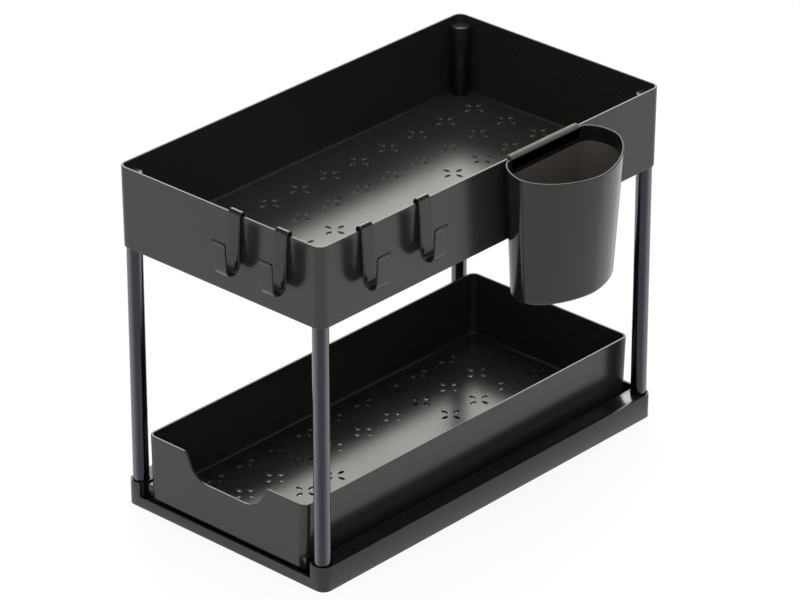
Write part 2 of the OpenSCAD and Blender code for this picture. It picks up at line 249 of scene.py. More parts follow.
def wall_profile(foot, foot_edge):
    """A tub wall's section as inset from its outer face, height, and depth below its rim.

    Quarter circles join the floor to the wall, round both edges of the rim and round the
    foot. Heights are not numbers on the rim's rows, where the depth counts instead.
    """
    turn = quarter(ROUND_STEPS)
    floor_top = foot + TUB_FLOOR
    nothing = np.full(ROUND_STEPS + 1, np.nan)
    inset = np.concatenate([
        TUB_WALL + FLOOR_FILLET * (1 - np.sin(turn)),
        TUB_WALL - RIM_EDGE * (1 - np.cos(turn)),
        RIM_EDGE * (1 - np.sin(turn)),
        foot_edge * (1 - np.cos(turn))])
    height = np.concatenate([
        floor_top + FLOOR_FILLET * (1 - np.cos(turn)),
        nothing,
        nothing,
        foot + foot_edge * (1 - np.sin(turn))])
    depth = np.concatenate([
        0 * turn,
        RIM_EDGE * (1 - np.sin(turn)),
        RIM_EDGE * (1 - np.cos(turn)),
        0 * turn])
    return inset[:, None], height[:, None], depth[:, None]


def tub_wall(size, middle_y, foot, rim, corner, lean, front_lean, foot_edge, rim_line=None):
    """Rings of a tub's wall, from its floor up the inside, over the rim and down the outside.

    A point is its corner's centre plus the outward direction times radius less inset, and
    the centres move in by the lean as the height falls from rim to foot. A rim line, given
    as points and upward directions along the front, dips the front wall's rim.
    """
    inset, height, depth = wall_profile(foot, foot_edge)
    on_rim = np.isnan(height)
    signs, out = corner_stations(CORNER_STEPS)
    z = np.where(on_rim, rim - depth, height) + 0 * out[None, :, 0]
    fall = (rim - z) / (rim - foot)
    lean_y = np.where(signs[:, 1] < 0, front_lean, lean)
    x = signs[:, 0] * (size[0] / 2 - corner - lean * fall) + out[:, 0] * (corner - inset)
    y = signs[:, 1] * (size[1] / 2 - corner - lean_y * fall) + out[:, 1] * (corner - inset)
    rings = np.stack([x, y + middle_y, z], -1)
    if rim_line is None:
        return rings
    line, upward = rim_line
    x = np.where(on_rim, line[:, 0] - depth * upward[:, 0], line[:, 0])
    z = np.where(on_rim, line[:, 1] - depth * upward[:, 1], height)
    y = middle_y - size[1] / 2 + inset + 0 * line[None, :, 0]
    return np.concatenate([rings, np.stack([x, y, z], -1)], axis=1)


def leaf(grow):
    """Outline of a leaf-shaped hole where two arcs cross, counter-clockwise, grown all round."""
    length = LEAF_LENGTH + 2 * grow
    width = LEAF_WIDTH + 2 * grow
    radius = (length ** 2 + width ** 2) / (4 * width)
    half = math.asin(length / (2 * radius))
    turn = np.linspace(-half, half, LEAF_STEPS, endpoint=False)
    arc = np.stack([-radius * np.sin(turn), radius * np.cos(turn) - radius + width / 2], 1)
    return np.concatenate([arc, -arc])


def flower_holes(pitch_x, middle_y, top, foot):
    """Walls of the leaf-shaped holes through a floor, as rings by leaves by points.

    Flowers of four leaves stand on a grid of five by eleven, apart from three in the middle.
    Each hole's lips are quarter circles, at the floor's top and at its underside.
    """
    turn = quarter(LIP_STEPS)
    grow = LIP * (1 - np.sin(turn))
    drop = LIP * (1 - np.cos(turn))
    grow = np.concatenate([grow, grow[::-1]])
    level = np.concatenate([top - drop, foot + drop[::-1]])
    across, along = np.meshgrid(np.arange(-2, 3), np.arange(-5, 6), indexing="ij")
    kept = (across != 0) | (abs(along) > 1)
    middles = np.stack([across[kept] * pitch_x, along[kept] * FLOWER_PITCH_Y + middle_y], 1)
    rings = np.stack([leaf(g) for g in grow]) + [LEAF_OFFSET, 0]
    angle = np.radians([0, 90, 180, 270])
    turns = np.stack([np.cos(angle), np.sin(angle), -np.sin(angle), np.cos(angle)], 1).reshape(4, 2, 2)
    petals = np.einsum("rmi,aij->ramj", rings, turns)
    xy = middles[None, :, None, None] + petals[:, None]
    z = np.broadcast_to(level[:, None, None, None, None], xy.shape[:-1] + (1,))
    points = np.concatenate([xy, z], -1)
    return points.reshape(len(grow), -1, 2 * LEAF_STEPS, 3)


def hole_faces(rings, leaves, points):
    """Four-cornered faces down the walls of the holes, looking into each hole."""
    start = np.arange(rings * leaves * points).reshape(rings, leaves, points)
    after = np.roll(start, -1, axis=2)
    return np.stack([start[:-1], after[:-1], after[1:], start[1:]], -1).reshape(-1, 4)


def pierced_sheet(edge, holes, upward):
    """A flat sheet inside an edge and round its holes, filled with triangles."""
    loops = [edge] + list(holes)
    points = np.concatenate(loops)
    ends = np.cumsum([len(loop) for loop in loops])
    rims = [part.tolist() for part in np.split(np.arange(ends[-1]), ends[:-1])]
    flat = [Vector(p) for p in points[:, :2].tolist()]
    filled = delaunay_2d_cdt(flat, [], rims, 2, 1e-5)
    origin = np.array([source[0] for source in filled[3]])
    faces = origin[np.array(filled[2])]
    a, b, c = (points[faces[:, i], :2] for i in range(3))
    spin = (b[:, 0] - a[:, 0]) * (c[:, 1] - a[:, 1]) - (b[:, 1] - a[:, 1]) * (c[:, 0] - a[:, 0])
    wrong = (spin > 0) != upward
    faces[wrong] = faces[wrong][:, ::-1]
    return points, faces


def add_tub(surface, rings, holes):
    """A tub: its wall, its pierced floor's top and underside, and the walls of its holes."""
    surface.patch(rings, lattice(rings.shape[0], rings.shape[1], turned=True))
    surface.patch(holes, hole_faces(*holes.shape[:3]))
    surface.patch(*pierced_sheet(rings[0], holes[0], True))
    surface.patch(*pierced_sheet(rings[-1], holes[-1], False))


def turned_rings(radius, height, middle):
    """Rings of a turned shape: radius and height down its profile, round an upright axis."""
    angle = np.linspace(0, 2 * math.pi, TURN_STEPS, endpoint=False)
    radius = np.asarray(radius)[:, None]
    x = middle[0] + radius * np.cos(angle)
    y = middle[1] + radius * np.sin(angle)
    z = np.asarray(height)[:, None] + 0 * angle
    return np.stack([x, y, z], -1)


def add_post(surface, middle, foot, top):
    """A solid round post with a rounded top edge."""
    turn = quarter(ROUND_STEPS)
    radius = np.concatenate([[POST_RADIUS], POST_RADIUS - POST_EDGE * (1 - np.cos(turn))])
    height = np.concatenate([[foot], top - POST_EDGE * (1 - np.sin(turn))])
    rings = turned_rings(radius, height, middle)
    rows, columns = rings.shape[:2]
    surface.patch(rings, lattice(rows, columns), *end_faces(rows, columns))


def slab_rings(low, high, edge):
    """Rings of a block from its underside to its top, with every edge a quarter circle."""
    turn = quarter(ROUND_STEPS)
    signs, out = corner_stations(ROUND_STEPS)
    inset = edge * (1 - np.sin(turn))
    rise = edge * (1 - np.cos(turn))
    inset = np.concatenate([inset, inset[::-1]])[:, None, None]
    height = np.concatenate([low[2] + rise, high[2] - rise[::-1]])[:, None]
    middle = (low[:2] + high[:2]) / 2
    half = (high[:2] - low[:2]) / 2
    xy = middle + signs * (half - edge) + out * (edge - inset)
    z = height + 0 * xy[..., 0]
    return np.concatenate([xy, z[..., None]], -1)


def add_slab(surface, low, high, edge):
    """A block with rounded edges."""
    rings = slab_rings(np.asarray(low, float), np.asarray(high, float), edge)
    rows, columns = rings.shape[:2]
    surface.patch(rings, lattice(rows, columns), *end_faces(rows, columns))


def leg_places():
    """Middle of each leg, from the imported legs' boxes."""
    names = ["leg_front_left", "leg_front_right", "leg_rear_left", "leg_rear_right"]
    return {name: sum(box_of(name)) / 2 for name in names}


def build_basket(material):
    """The upper basket: a leaning tub with a pierced floor and a post over each leg."""
    low, high = box_of("upper_basket")
    foot, rim = low[2], high[2]
    surface = Surface()
    wall = tub_wall(high - low, 0, foot, rim, BASKET_CORNER, BASKET_LEAN, BASKET_LEAN, BASKET_FOOT_EDGE)
    holes = flower_holes(BASKET_PITCH_X, BASKET_SHIFT, foot + TUB_FLOOR, foot)
    add_tub(surface, wall, holes)
    for middle in leg_places().values():
        add_post(surface, middle, foot + TUB_FLOOR / 2, rim - POST_DROP)
    moulding("basket_shell", surface, [material], "frame", "black_plastic", "upper_basket")


def notch_line(rim):
    """The drawer's front rim from left to right, with its upward direction at each point.

    The hand notch runs down from a rounded shoulder, along a straight slope and round a
    wide arc to its flat bottom. The right half is worked out and the left is its mirror.
    """
    bottom = rim - NOTCH_DEPTH
    rim_x = NOTCH_WIDTH / 2
    flat = rim_x - NOTCH_DEPTH / math.tan(NOTCH_SLOPE) - NOTCH_RADIUS * math.tan(NOTCH_SLOPE / 2)
    sweep = np.linspace(-math.pi / 2, NOTCH_SLOPE - math.pi / 2, 13)
    arc = np.stack([flat + NOTCH_RADIUS * np.cos(sweep), bottom + NOTCH_RADIUS * (1 + np.sin(sweep))], 1)
    arc_up = -np.stack([np.cos(sweep), np.sin(sweep)], 1)
    sweep = np.linspace(NOTCH_SLOPE + math.pi / 2, math.pi / 2, 7)
    middle = [rim_x + NOTCH_SHOULDER * math.tan(NOTCH_SLOPE / 2), rim - NOTCH_SHOULDER]
    shoulder_up = np.stack([np.cos(sweep), np.sin(sweep)], 1)
    shoulder = middle + NOTCH_SHOULDER * shoulder_up
    line = np.concatenate([arc, shoulder])
    upward = np.concatenate([arc_up, shoulder_up])
    mirror = np.array([-1, 1])
    return np.concatenate([line[::-1] * mirror, line]), np.concatenate([upward[::-1] * mirror, upward])


def add_apron_end(surface, side, front, foot):
    """The square end of the drawer's apron, outside its rounded corner, with rounded edges."""
    turn = quarter(ROUND_STEPS)
    inner = DRAWER_SIDE - DRAWER_CORNER
    bend_x = DRAWER_SIDE - APRON_EDGE + APRON_EDGE * np.sin(turn)
    bend_y = front + APRON_EDGE - APRON_EDGE * np.cos(turn)
    outline = np.concatenate([
        [[inner, front]],
        np.stack([bend_x, bend_y], 1),
        [[DRAWER_SIDE, front + APRON_DEPTH], [inner, front + APRON_DEPTH]]])
    out = np.concatenate([[[0, -1]], np.stack([np.sin(turn), -np.cos(turn)], 1), [[1, 0], [0, 0]]])
    inset = np.concatenate([[0], APRON_EDGE * (1 - np.cos(turn))])[:, None, None]
    height = np.concatenate([[foot], APRON_TOP - APRON_EDGE * (1 - np.sin(turn))])[:, None]
    xy = outline - out * inset
    rings = np.concatenate([xy, (height + 0 * xy[..., 0])[..., None]], -1) * [side, 1, 1]
    rows, columns = rings.shape[:2]
    turned = side < 0
    surface.patch(rings, lattice(rows, columns, turned), *end_faces(rows, columns, turned))


def build_drawer(material):
    """The drawer: a tub with an upright notched front, a square-ended apron and side lugs."""
    low, high = box_of("drawer")
    foot, rim, front = low[2], high[2], low[1]
    size = np.array([2 * DRAWER_SIDE, high[1] - low[1]])
    middle_y = (low[1] + high[1]) / 2
    surface = Surface()
    wall = tub_wall(size, middle_y, foot, rim, DRAWER_CORNER, DRAWER_LEAN, 0, DRAWER_FOOT_EDGE,
                    notch_line(rim))
    holes = flower_holes(DRAWER_PITCH_X, middle_y + DRAWER_SHIFT, foot + TUB_FLOOR, foot)
    add_tub(surface, wall, holes)
    lug_foot = foot + DRAWER_FOOT_EDGE
    lug_y = leg_places()["leg_rear_left"][1] - 82.6
    for side in (-1, 1):
        add_apron_end(surface, side, front, lug_foot)
        reach = sorted([side * (DRAWER_SIDE - TUB_WALL - 0.5), side * high[0]])
        add_slab(surface, [reach[0], lug_y, lug_foot], [reach[1], lug_y + LUG_LENGTH, LUG_TOP], APRON_EDGE)
    moulding("drawer_shell", surface, [material], "drawer", "black_plastic", "drawer")


def build_legs(material):
    """Four tubes: a closed profile up the outside and down the bore, turned round each axis."""
    turn = quarter(ROUND_STEPS)
    for name, middle in leg_places().items():
        low, high = box_of(name)
        outer = (high[0] - low[0]) / 2
        bore = outer - LEG_WALL
        radius = np.concatenate([
            [bore], outer - LEG_EDGE * (1 - np.sin(turn)),
            outer - LEG_EDGE * (1 - np.cos(turn)), [bore, bore]])
        height = np.concatenate([
            [low[2]], low[2] + LEG_EDGE * (1 - np.cos(turn)),
            high[2] - LEG_EDGE * (1 - np.sin(turn)), [high[2], low[2]]])
        surface = Surface()
        rings = turned_rings(radius, height, middle)
        surface.patch(rings, lattice(*rings.shape[:2]))
        moulding(name.replace("leg", "tube"), surface, [material], "frame", "leg_metal", name)


def strip_rings(line, thick_way, width_way, half_thick, half_width):
    """Rings of a strip: a rounded rectangle carried along a line, drawn in round at both ends.

    Near an end the section shrinks by edge times (1 - sin a) at edge times (1 - cos a) from it.
    """
    turn = quarter(ROUND_STEPS)[:-1]
    signs, out = corner_stations(ROUND_STEPS)
    first = line[1] - line[0]
    last = line[-2] - line[-1]
    first = first / np.linalg.norm(first)
    last = last / np.linalg.norm(last)
    step = (STRIP_EDGE * (1 - np.cos(turn)))[:, None]
    start = line[0] + step * first
    finish = line[-1] + step[::-1] * last
    line = np.concatenate([start, [line[0] + STRIP_EDGE * first], line[1:-1],
                           [line[-1] + STRIP_EDGE * last], finish])
    ends = len(turn)
    thick_way = np.concatenate([np.repeat(thick_way[:1], ends, 0), thick_way,
                                np.repeat(thick_way[-1:], ends, 0)])
    shrink = STRIP_EDGE * (1 - np.sin(turn))
    shrink = np.concatenate([shrink, np.zeros(len(line) - 2 * ends), shrink[::-1]])[:, None]
    thick = signs[:, 0] * (half_thick - STRIP_EDGE) + out[:, 0] * (STRIP_EDGE - shrink)
    width = signs[:, 1] * (half_width - STRIP_EDGE) + out[:, 1] * (STRIP_EDGE - shrink)
    return line[:, None] + thick[..., None] * thick_way[:, None] + width[..., None] * width_way


def add_strip(surface, line, thick_way, width_way, half_thick, half_width, finish_number=0):
    """A bent strip with rounded edges and ends."""
    rings = strip_rings(line, thick_way, width_way, half_thick, half_width)
    rows, columns = rings.shape[:2]
    turned = np.dot(np.cross(thick_way[0], width_way), line[1] - line[0]) < 0
    surface.patch(rings, lattice(rows, columns, turned), *end_faces(rows, columns, turned),
                  finish_number=finish_number)


def way(degrees):
    """Unit direction at an angle in the plane of a hook's side view."""
    angle = np.radians(degrees)
    return np.stack([np.cos(angle), np.sin(angle)], -1)


def hook_line():
    """Middle of a hook's strip from its inner lip to its tip, with the direction square to it.

    Out from the wall is first and up is second, and the rim is at zero: up the lip, a half
    turn over the rim, a straight run down to the bowl's turn, up the flap and out at the tip.
    """
    bend_in = TUB_WALL / 2 + HANG_GAP
    over = bend_in + HOOK_THICK / 2
    clip = np.array([-TUB_WALL / 2, HANG_GAP - bend_in + TUB_WALL / 2])
    bowl_radius = HOOK_BEND - HOOK_THICK / 2
    bowl = np.array([HOOK_REACH, HOOK_BEND - HOOK_DEPTH])
    run = bowl - clip
    lean = math.degrees(math.acos((over + bowl_radius) / np.linalg.norm(run)) - math.atan2(-run[1], run[0]))
    flap = way(-FLAP_LEAN)
    tip = bowl + (bowl_radius + TIP_RADIUS) * flap + FLAP_LENGTH * way(90 - FLAP_LEAN)
    over_turn = np.linspace(180, lean, HOOK_STEPS)
    bowl_turn = np.linspace(180 + lean, 360 - FLAP_LEAN, HOOK_STEPS)
    tip_turn = np.linspace(180 - FLAP_LEAN, 180 - FLAP_LEAN - TIP_TURN, HOOK_STEPS)
    lip_end = clip + [-over, -HOOK_LIP - clip[1]]
    line = np.concatenate([
        [lip_end],
        clip + over * way(over_turn),
        bowl + bowl_radius * way(bowl_turn),
        tip + TIP_RADIUS * way(tip_turn)])
    square = way(np.concatenate([[180], over_turn, bowl_turn + 180, tip_turn]))
    return line, square


def build_hooks(material):
    """Four hooks, each one strip bent over the rim and up again, on the front and right walls."""
    line, square = hook_line()
    basket_low, basket_high = box_of("upper_basket")
    up = np.array([0, 0, 1])
    walls = {
        "hook_front_left": (np.array([0, -1, 0]), np.array([1, 0, 0])),
        "hook_front_right": (np.array([0, -1, 0]), np.array([1, 0, 0])),
        "hook_side_front": (np.array([1, 0, 0]), np.array([0, 1, 0])),
        "hook_side_rear": (np.array([1, 0, 0]), np.array([0, 1, 0]))}
    for name, (outward, along) in walls.items():
        low, high = box_of(name)
        middle = (low + high) / 2
        face = basket_low[1] if outward[1] else basket_high[0]
        origin = middle * along + abs(outward) * face + basket_high[2] * up
        path = origin + line[:, :1] * outward + line[:, 1:] * up
        thick_way = square[:, :1] * outward + square[:, 1:] * up
        half_width = np.dot(high - low, along) / 2
        surface = Surface()
        add_strip(surface, path, thick_way, along, HOOK_THICK / 2, half_width)
        moulding(name.replace("hook", "strip"), surface, [material], name, "hook_plastic", name)


def cup_outline(rise, inset):
    """The cup's outline as out from the wall and along it, counter-clockwise.

    A quarter ellipse turns out of the flat back at each side, and the bow between them is a
    superellipse. Rise is 0 at the foot and 1 at the rim, and the sides lean in by the taper.
    """
    half_width = CUP_HALF_WIDTH - CUP_TAPER * (1 - rise) - inset
    bow = CUP_BOW - CUP_TAPER * (1 - rise) - inset
    corner = CUP_SHOULDER - inset
    turn = np.radians(np.linspace(0, 90, SHOULDER_STEPS, endpoint=False))
    shoulder = np.stack([inset + (CUP_SIDE - inset) * (1 - np.cos(turn)),
                         -half_width + corner * (1 - np.sin(turn))], 1)
    angle = np.radians(np.linspace(-90, 90, BOW_STEPS + 1))
    curve = np.stack([CUP_SIDE + bow * abs(np.cos(angle)) ** (2 / CUP_POWER),
                      half_width * np.sign(angle) * abs(np.sin(angle)) ** (2 / CUP_POWER)], 1)
    return np.concatenate([shoulder, curve, shoulder[::-1] * [1, -1]])


def cup_ring(foot, rim, rise, inset, lift=0.0, drop=0.0):
    """One ring of the cup, on the level of its foot or on its sloping rim."""
    outline = cup_outline(rise, inset)
    height = foot + lift + rise * (rim - CUP_SLOPE * outline[:, 0] - foot - lift) - drop
    return np.column_stack([outline, height])


def cup_rings(foot, rim):
    """Rings up the outside of the cup, over its rounded rim and down the inside."""
    turn = quarter(ROUND_STEPS)
    inner_edge = CUP_FOOT_EDGE - CUP_WALL
    outside = [cup_ring(foot, rim, 0, CUP_FOOT_EDGE * (1 - math.sin(a)), CUP_FOOT_EDGE * (1 - math.cos(a)))
               for a in turn]
    over = [cup_ring(foot, rim, 1, CUP_RIM_EDGE * (1 - math.cos(a)), 0, CUP_RIM_EDGE * (1 - math.sin(a)))
            for a in turn]
    over += [cup_ring(foot, rim, 1, CUP_WALL - CUP_RIM_EDGE * (1 - math.sin(a)), 0,
                      CUP_RIM_EDGE * (1 - math.cos(a))) for a in turn]
    inside = [cup_ring(foot, rim, 0, CUP_WALL + inner_edge * (1 - math.sin(a)),
                       CUP_WALL + inner_edge * (1 - math.cos(a))) for a in turn[::-1]]
    share = np.linspace(0, 1, 10)[1:-1, None, None]
    rising = outside[-1] + share * (over[0] - outside[-1])
    falling = over[-1] + share * (inside[0] - over[-1])
    return np.concatenate([outside, rising, over, falling, inside])


def build_cup(outside, inside):
    """The cup on the right-hand wall, with a flange that bends over the rim to its inner lip."""
    low, high = box_of("hanging_cup")
    basket_low, basket_high = box_of("upper_basket")
    rim = basket_high[2]
    back = basket_high[0] + HANG_GAP
    middle_y = (low[1] + high[1]) / 2
    origin = np.array([back, middle_y, 0])
    surface = Surface()
    rings = cup_rings(low[2], rim) + origin
    rows, columns = rings.shape[:2]
    foot, bottom = end_faces(rows, columns)
    faces = lattice(rows, columns)
    # The inside, its bottom and the flange take the lighter finish: painted light standing in for light inside
    # the cup.
    split = CUP_PAINTED_INSIDE_ROW * columns
    surface.patch(rings, foot, faces[:split])
    surface.patch(rings, faces[split:], bottom, finish_number=1)
    half_thick = CUP_WALL / 2
    over = TUB_WALL / 2 + HANG_GAP + half_thick
    turn = quarter(8)
    bend = 1.6
    lip_x = half_thick - 2 * over
    top = rim + HANG_GAP + half_thick
    path = np.concatenate([
        [[lip_x, rim - CUP_LIP]],
        np.stack([lip_x + bend * (1 - np.cos(turn)), top - bend * (1 - np.sin(turn))], 1),
        np.stack([half_thick - bend * (1 - np.sin(turn)), top - bend * (1 - np.cos(turn))], 1),
        [[half_thick, rim - CUP_LIP]]])
    square = np.concatenate([
        [[-1, 0]],
        np.stack([-np.cos(turn), np.sin(turn)], 1),
        np.stack([np.sin(turn), np.cos(turn)], 1),
        [[1, 0]]])
    line = origin + np.column_stack([path[:, 0], 0 * path[:, 0], path[:, 1]])
    thick_way = np.column_stack([square[:, 0], 0 * square[:, 0], square[:, 1]])
    half_width = CUP_HALF_WIDTH - CUP_SHOULDER
    add_strip(surface, line, thick_way, np.array([0, 1, 0]), half_thick, half_width, 1)
    moulding("cup_shell", surface, [outside, inside], "cup", "cup_plastic", "hanging_cup")


def build_base(material):
    """The base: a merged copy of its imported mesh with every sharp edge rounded."""
    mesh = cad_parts["base_tray"].data.copy()
    mesh.name = "base_shell"
    mesh.materials.clear()
    shell = bmesh.new()
    shell.from_mesh(mesh)
    bmesh.ops.remove_doubles(shell, verts=shell.verts, dist=MERGE)
    bmesh.ops.dissolve_limit(shell, angle_limit=math.radians(1), verts=shell.verts, edges=shell.edges)
    for face in shell.faces:
        face.smooth = True
    shell.to_mesh(mesh)
    shell.free()
    piece = dress("base_shell", mesh, [material], "frame", "black_plastic", "base_tray")
    bevel = piece.modifiers.new("rounded_edges", "BEVEL")
    bevel.width = BASE_EDGE * MM
    bevel.segments = 3
    bevel.limit_method = "ANGLE"
    bevel.angle_limit = math.radians(35)
    bevel.harden_normals = True
    bevel.use_clamp_overlap = True


def grain_group():
    """A shared effect: the fine grain that a mould leaves, with slow patches of sheen.

    Height is fine noise. Patch is noise a hundred times wider, from -1 to 1.
    """
    group = bpy.data.node_groups.new("moulded_grain", "ShaderNodeTree")
    group.interface.new_socket("Grain Size", in_out="INPUT", socket_type="NodeSocketFloat")
    group.interface.new_socket("Patch Size", in_out="INPUT", socket_type="NodeSocketFloat")
    group.interface.new_socket("Height", in_out="OUTPUT", socket_type="NodeSocketFloat")
    group.interface.new_socket("Patch", in_out="OUTPUT", socket_type="NodeSocketFloat")
    nodes, links = group.nodes, group.links
    given = nodes.new("NodeGroupInput")
    result = nodes.new("NodeGroupOutput")
    place = nodes.new("ShaderNodeTexCoord")
    fine = nodes.new("ShaderNodeTexNoise")
    wide = nodes.new("ShaderNodeTexNoise")
    spread = nodes.new("ShaderNodeMapRange")
    for noise, size, detail in ((fine, "Grain Size", 2.0), (wide, "Patch Size", 3.0)):
        scale = nodes.new("ShaderNodeMath")
        scale.operation = "DIVIDE"
        scale.inputs[0].default_value = 1.0
        links.new(given.outputs[size], scale.inputs[1])
        links.new(scale.outputs[0], noise.inputs["Scale"])
        links.new(place.outputs["Object"], noise.inputs["Vector"])
        noise.inputs["Detail"].default_value = detail
    spread.inputs["From Min"].default_value = 0.3
    spread.inputs["From Max"].default_value = 0.7
    spread.inputs["To Min"].default_value = -1.0
    spread.inputs["To Max"].default_value = 1.0
    links.new(fine.outputs["Fac"], result.inputs["Height"])
    links.new(wide.outputs["Fac"], spread.inputs["Value"])
    links.new(spread.outputs["Result"], result.inputs["Patch"])
    return group


def map_range(nodes, low, high, first, last):
    """A node that turns low to high into first to last, and stays within them."""
    node = nodes.new("ShaderNodeMapRange")
    node.clamp = True
    for name, value in (("From Min", low), ("From Max", high), ("To Min", first), ("To Max", last)):
        node.inputs[name].default_value = value
    return node


def finish(name, colour, roughness, grain_size, grain_depth, patch_size, patch_gloss, metallic=0.0,
           ior=1.5, painted_edge_highlight=None):
    """A black finish: a plain colour with slow patches of sheen and fine grain in its bump.

    With a painted edge highlight, a metal's colour turns to that lighter colour where its surface leans away from
    the eye: a painted highlight down the sides of a tube.
    """
    material = bpy.data.materials.new(name)
    material.use_nodes = True
    nodes, links = material.node_tree.nodes, material.node_tree.links
    shader = nodes["Principled BSDF"]
    grain = nodes.new("ShaderNodeGroup")
    grain.node_tree = GRAIN
    grain.inputs["Grain Size"].default_value = grain_size * MM
    grain.inputs["Patch Size"].default_value = patch_size * MM
    sheen = nodes.new("ShaderNodeMapRange")
    sheen.clamp = True
    sheen.inputs["From Min"].default_value = -1.0
    sheen.inputs["From Max"].default_value = 1.0
    sheen.inputs["To Min"].default_value = roughness - patch_gloss
    sheen.inputs["To Max"].default_value = roughness + patch_gloss
    links.new(grain.outputs["Patch"], sheen.inputs["Value"])
    links.new(sheen.outputs["Result"], shader.inputs["Roughness"])
    tint = nodes.new("ShaderNodeMix")
    tint.data_type = "RGBA"
    tint.inputs["A"].default_value = (*(0.86 * c for c in colour), 1)
    tint.inputs["B"].default_value = (*(1.14 * c for c in colour), 1)
    depth = nodes.new("ShaderNodeMapRange")
    depth.clamp = True
    depth.inputs["From Min"].default_value = 0.3
    depth.inputs["From Max"].default_value = 0.7
    links.new(grain.outputs["Height"], depth.inputs["Value"])
    links.new(depth.outputs["Result"], tint.inputs["Factor"])
    links.new(tint.outputs["Result"], shader.inputs["Base Color"])
    # Painted highlight: the base colour lightens where the surface leans away from the eye.
    if painted_edge_highlight:
        lean = nodes.new("ShaderNodeLayerWeight")
        lean.inputs["Blend"].default_value = 0.5
        share = map_range(nodes, *PAINTED_HIGHLIGHT_TURN, 0, 1)
        edge = nodes.new("ShaderNodeMix")
        edge.data_type = "RGBA"
        edge.inputs["B"].default_value = (*painted_edge_highlight, 1)
        links.new(lean.outputs["Facing"], share.inputs["Value"])
        links.new(share.outputs["Result"], edge.inputs["Factor"])
        links.new(tint.outputs["Result"], edge.inputs["A"])
        links.new(edge.outputs["Result"], shader.inputs["Base Color"])
    bump = nodes.new("ShaderNodeBump")
    bump.inputs["Strength"].default_value = 1.0
    bump.inputs["Distance"].default_value = grain_depth * MM
    links.new(grain.outputs["Height"], bump.inputs["Height"])
    links.new(bump.outputs["Normal"], shader.inputs["Normal"])
    shader.inputs["Metallic"].default_value = metallic
    shader.inputs["IOR"].default_value = ior
    return material


def ramp(nodes, stops):
    """A colour ramp from -180 to 180 degrees, with each level as a share of the studio's top."""
    node = nodes.new("ShaderNodeValToRGB")
    node.color_ramp.interpolation = "EASE"
    marks = node.color_ramp.elements
    while len(marks) < len(stops):
        marks.new(0.5)
    for mark, (place, level) in zip(marks, stops):
        mark.position = (place + 180) / 360
        mark.color = (*(level / STUDIO_TOP * part for part in STUDIO_TINT), 1)
    return node


# How far from square-on a metal starts to turn to its painted edge highlight, and where it has it in full
PAINTED_HIGHLIGHT_TURN = (0.14, 0.36)

# The studio: levels of light by how far a direction turns from the camera's side, in degrees,
# with the camera's right hand counted up. Low reaches a little above the horizon at the sides.
STUDIO_TOP = 4.0
LOW_LIGHT = [
    (-180, 0.0), (-130, 0.0), (-90, 1.1), (-50, 0.0), (0, 1.1), (50, 0.0), (90, 1.1), (130, 0.0), (180, 0.0)]
HIGH_LIGHT = [
    (-180, 4.0), (-168, 3.6), (-155, 0.9), (-145, 0.3), (-100, 0.15), (-75, 0.3), (-50, 0.8), (0, 0.9),
    (50, 0.8), (75, 0.3), (100, 0.15), (145, 0.3), (155, 0.9), (168, 3.6), (180, 4.0)]
OVERHEAD_LIGHT = 3.5
STUDIO_TINT = (1.0, 0.99, 0.94)
LOW_REACH = [(-155, 0.0), (-132, STUDIO_TOP), (132, STUDIO_TOP), (155, 0.0)]
LOW_BORDER = (-0.08, 0.28)
FLOOR_GLOW = 0.88
CAMERA_TURN = math.radians(42.571)
CAMERA_RISE = math.radians(27.242)
CAMERA_ROLL = math.radians(-0.016)
CAMERA_PLACE = (2.2625, -2.4557, 1.8605)
FOCAL_PIXELS = 4769.5
PHOTO_WIDTH = 800


